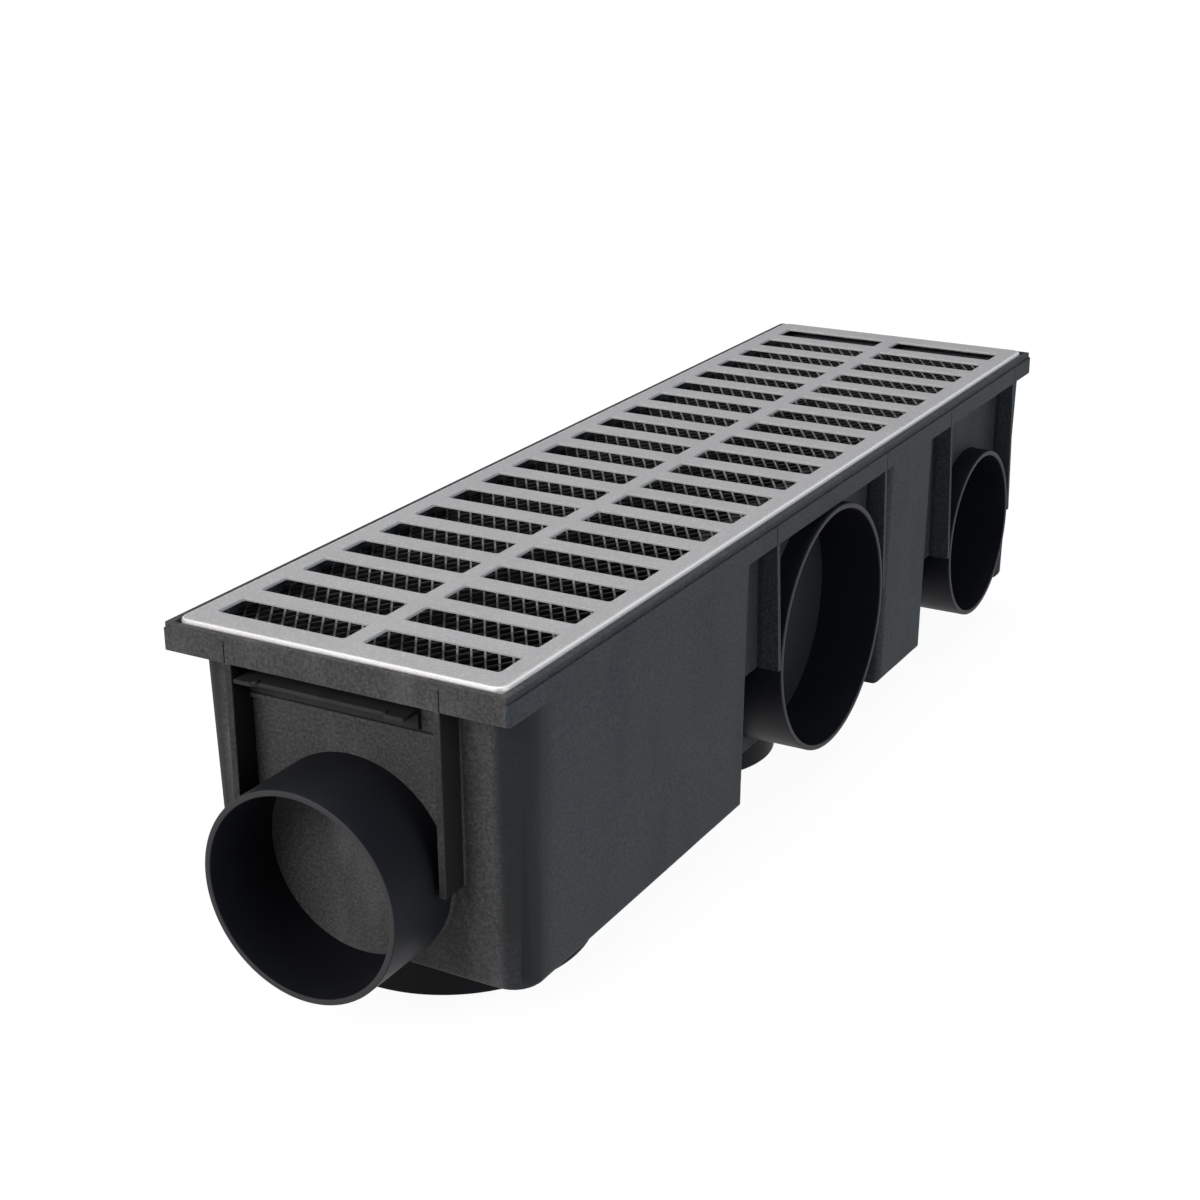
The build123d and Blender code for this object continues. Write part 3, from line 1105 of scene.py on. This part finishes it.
@dataclass
class OutletTube:
    """One open tube, round and smooth, with a softened mouth."""

    node: str
    direction: Direction
    wall: float = 2.5 * MM
    mouth_round: float = 0.7 * MM
    sides: int = 160

    def __post_init__(self) -> None:
        """Read the tube's place and size from its CAD node."""
        low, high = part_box(self.node)
        self.axis = Vector(self.direction.value)
        self.middle = (low + high) / 2
        self.radius = max(high - low) / 2
        self.length = abs((high - low).dot(self.axis))
        self.foot = self.middle - self.axis * self.length / 2
        self.mouth = self.foot + self.axis * self.length
        self.axis_index = max(range(3), key=lambda index: abs(self.axis[index]))

    def build(self) -> bpy.types.Object:
        """Raise a ring from the tube's foot to its mouth, give it its wall and soften its mouth.

        Returns:
            The tube.
        """
        turn = Vector((0, 0, 1)).rotation_difference(self.axis).to_euler()
        Bench.clear()
        bpy.ops.mesh.primitive_circle_add(
            vertices=self.sides, radius=self.radius, fill_type="NOTHING", location=self.foot,
            rotation=turn,
        )
        piece = bpy.context.object
        bpy.ops.object.transform_apply(location=True, rotation=True, scale=True)
        bpy.ops.object.mode_set(mode="EDIT")
        bpy.ops.mesh.select_all(action="SELECT")
        Bench.pull(self.axis * self.length)
        first = piece.data.polygons[0]
        outward = (first.center - self.middle).dot(first.normal) > 0
        Bench.thicken(piece, self.wall, outward, use_even_offset=True)
        Bench.pick(piece, "EDGE", self.at_mouth)
        bpy.ops.mesh.bevel(offset=self.mouth_round, segments=3, affect="EDGES")
        Bench.done()
        return Bench.settle(piece, self.node + "_tube", 40.0)

    def at_mouth(self, edge: bpy.types.MeshEdge, mesh: bpy.types.Mesh) -> bool:
        """Whether an edge runs round the mouth.

        Args:
            edge: the edge.
            mesh: its mesh.

        Returns:
            True for the edges of the mouth's two circles.
        """
        ends = [mesh.vertices[index].co for index in edge.vertices]
        if any(abs((end - self.mouth).dot(self.axis)) > 0.05 * MM for end in ends):
            return False
        reach = [(end - self.mouth).length for end in ends]
        return abs(reach[0] - reach[1]) < self.wall / 4

    def plastic(self) -> OutletPlastic:
        """The finish of this tube.

        Returns:
            The finish, darker where the tube stands in the drain's own shade.
        """
        name = self.node + "_plastic"
        if self.direction is Direction.DOWN:
            return OutletPlastic(name, 1, self.middle.y, **UNDERSIDE_COLOURS)
        place = self.mouth[self.axis_index]
        return OutletPlastic(name, 2, self.middle.z, mouth_axis=self.axis_index, mouth_place=place)

    def disc(self) -> Disc:
        """The closed disc at the tube's root.

        Returns:
            The disc.
        """
        return Disc(tuple(self.foot), self.axis_index, self.radius - self.wall)


@dataclass
class Studio:
    """A pale floor, soft lights and the camera at the photograph's angle."""

    camera_place: tuple = (0.4055, -0.7885, 0.4056)
    yaw: float = -29.536
    pitch: float = 20.695
    roll: float = -0.382
    lens: float = 62.93
    sensor: float = 36.0
    floor_size: float = 12.0
    floor_grey: float = 0.50
    floor_glow: float = 1.15
    white_share: tuple = (0.82, 0.95)
    white_reach: tuple = (0.7, 1.6)
    world_light: float = 0.25
    world_colour: tuple = (0.93, 0.95, 1.0)
    lamps: list = field(default_factory=lambda: [
        ("front_key", (-0.6, -2.2, 1.2), (0.0, -0.15, 0.08), 1.2, 46.0, (1.0, 0.965, 0.93)),
        ("side_fill", (2.4, -0.4, 1.0), (0.0, 0.0, 0.05), 1.4, 30.0, (0.90, 0.955, 1.0)),
        ("top_soft", (-0.5, 0.2, 2.4), (0.0, 0.0, 0.1), 2.0, 40.0, (1.0, 1.0, 1.0)),
    ])

    def floor(self) -> None:
        """Lay a pale floor that is white to the camera and still takes the shadow."""
        Bench.clear()
        bpy.ops.mesh.primitive_plane_add(size=self.floor_size, location=(0.0, 0.0, 0.0))
        piece = bpy.context.object
        shade = Shader("pale_floor")
        ray = shade.tree.nodes.new("ShaderNodeLightPath")
        seen = Sock(shade, ray.outputs["Is Camera Ray"]) + Sock(shade, ray.outputs["Is Glossy Ray"])
        seen = seen + Sock(shade, ray.outputs["Is Transmission Ray"])
        lit = shade.node("ShaderNodeBsdfDiffuse", None, {"Color": (self.floor_grey,) * 3 + (1.0,)})
        white = shade.node(
            "ShaderNodeEmission", None, {"Color": (1.0, 1.0, 1.0, 1.0), "Strength": self.floor_glow}
        )
        away = (shade.x * shade.x + shade.y * shade.y).root()
        share = seen.rise(0.0, 1.0) * away.ramp(*self.white_reach, *self.white_share)
        both = shade.node("ShaderNodeMixShader", None, {0: share, 1: lit, 2: white})
        out = shade.tree.nodes.new("ShaderNodeOutputMaterial")
        shade.tree.links.new(both.socket, out.inputs["Surface"])
        dress(piece, shade.material)
        piece.name = "studio_floor"

    def world(self) -> None:
        """Light the scene softly from all round, and show white behind it."""
        world = bpy.data.worlds.new("studio")
        bpy.context.scene.world = world
        world.use_nodes = True
        nodes, links = world.node_tree.nodes, world.node_tree.links
        nodes.clear()
        ray = nodes.new("ShaderNodeLightPath")
        light = nodes.new("ShaderNodeBackground")
        light.inputs["Color"].default_value = self.world_colour + (1.0,)
        light.inputs["Strength"].default_value = self.world_light
        backdrop = nodes.new("ShaderNodeBackground")
        backdrop.inputs["Color"].default_value = (1.0, 1.0, 1.0, 1.0)
        backdrop.inputs["Strength"].default_value = 1.0
        mix = nodes.new("ShaderNodeMixShader")
        out = nodes.new("ShaderNodeOutputWorld")
        links.new(ray.outputs["Is Camera Ray"], mix.inputs[0])
        links.new(light.outputs[0], mix.inputs[1])
        links.new(backdrop.outputs[0], mix.inputs[2])
        links.new(mix.outputs[0], out.inputs["Surface"])

    def lights(self) -> None:
        """Hang the soft lamps."""
        for name, place, target, size, power, colour in self.lamps:
            lamp = bpy.data.lights.new(name, "AREA")
            lamp.shape = "SQUARE"
            lamp.size = size
            lamp.energy = power
            lamp.color = colour
            holder = bpy.data.objects.new(name, lamp)
            holder.location = place
            aim = Vector(target) - Vector(place)
            holder.rotation_euler = aim.to_track_quat("-Z", "Y").to_euler()
            bpy.context.scene.collection.objects.link(holder)

    def camera(self) -> None:
        """Set the camera where the photograph's stood."""
        yaw, pitch, roll = (math.radians(angle) for angle in (self.yaw, self.pitch, self.roll))
        ahead = Vector((
            math.sin(yaw) * math.cos(pitch), math.cos(yaw) * math.cos(pitch), -math.sin(pitch)
        ))
        level = Vector((math.cos(yaw), -math.sin(yaw), 0.0))
        upright = level.cross(ahead)
        right = level * math.cos(roll) + upright * math.sin(roll)
        upward = upright * math.cos(roll) - level * math.sin(roll)
        data = bpy.data.cameras.new("photo_view")
        data.lens = self.lens
        data.sensor_width = self.sensor
        data.sensor_fit = "HORIZONTAL"
        data.clip_start = 0.05
        holder = bpy.data.objects.new("photo_view", data)
        turn = Matrix((right, upward, -ahead)).transposed()
        holder.matrix_world = Matrix.Translation(Vector(self.camera_place)) @ turn.to_4x4()
        bpy.context.scene.collection.objects.link(holder)
        bpy.context.scene.camera = holder

    def build(self) -> None:
        """Set up the whole studio."""
        self.floor()
        self.world()
        self.lights()
        self.camera()
        bpy.context.scene.view_settings.view_transform = "Standard"


TUBES = (
    ("end_outlet", Direction.NEAR),
    ("side_outlet_large", Direction.SIDE),
    ("side_outlet_small", Direction.SIDE),
    ("bottom_outlet_near", Direction.DOWN),
    ("bottom_outlet_mid", Direction.DOWN),
)

MOULDINGS = (
    ("drain_body", "channel_body"),
    ("side_housing_large", "large_housing"),
    ("side_housing_small", "small_housing"),
)


def build_tubes() -> list:
    """Build and dress every tube.

    Returns:
        The closed discs at the tubes' roots.
    """
    discs = []
    for node, direction in TUBES:
        tube = OutletTube(node, direction)
        piece = tube.build()
        dress(piece, tube.plastic().build())
        hand_over(piece, "outlet_plastic", node)
        discs.append(tube.disc())
    return discs


def main() -> None:
    """Build the drain's pieces in order, dress them and light them."""
    logging.basicConfig(level=logging.INFO, format="%(name)s: %(message)s")
    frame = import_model()

    discs = build_tubes()

    body_plastic = BodyPlastic().build(discs)
    for node, name in MOULDINGS:
        piece = Moulding(node, name).build(frame)
        dress(piece, body_plastic)
        hand_over(piece, "body_plastic", node)

    sheet = Grate()
    grate = sheet.build()
    low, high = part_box("grate")
    dress(grate, GrateMetal().build(high.x, high.y, high.z - sheet.sunk))
    hand_over(grate, "grate_metal", "grate")

    weave = LeafMesh()
    mesh = weave.build()
    dress(mesh, MeshMetal().build(weave.cell_width, weave.cell_length))
    hand_over(mesh, "mesh_metal", "leaf_mesh")

    clip = EndClip().build()
    dress(clip, OutletPlastic("clip_plastic", **CLIP_COLOURS).build())
    hand_over(clip, "clip_plastic", "end_clip")

    Studio().build()


if __name__ == "__main__":
    main()
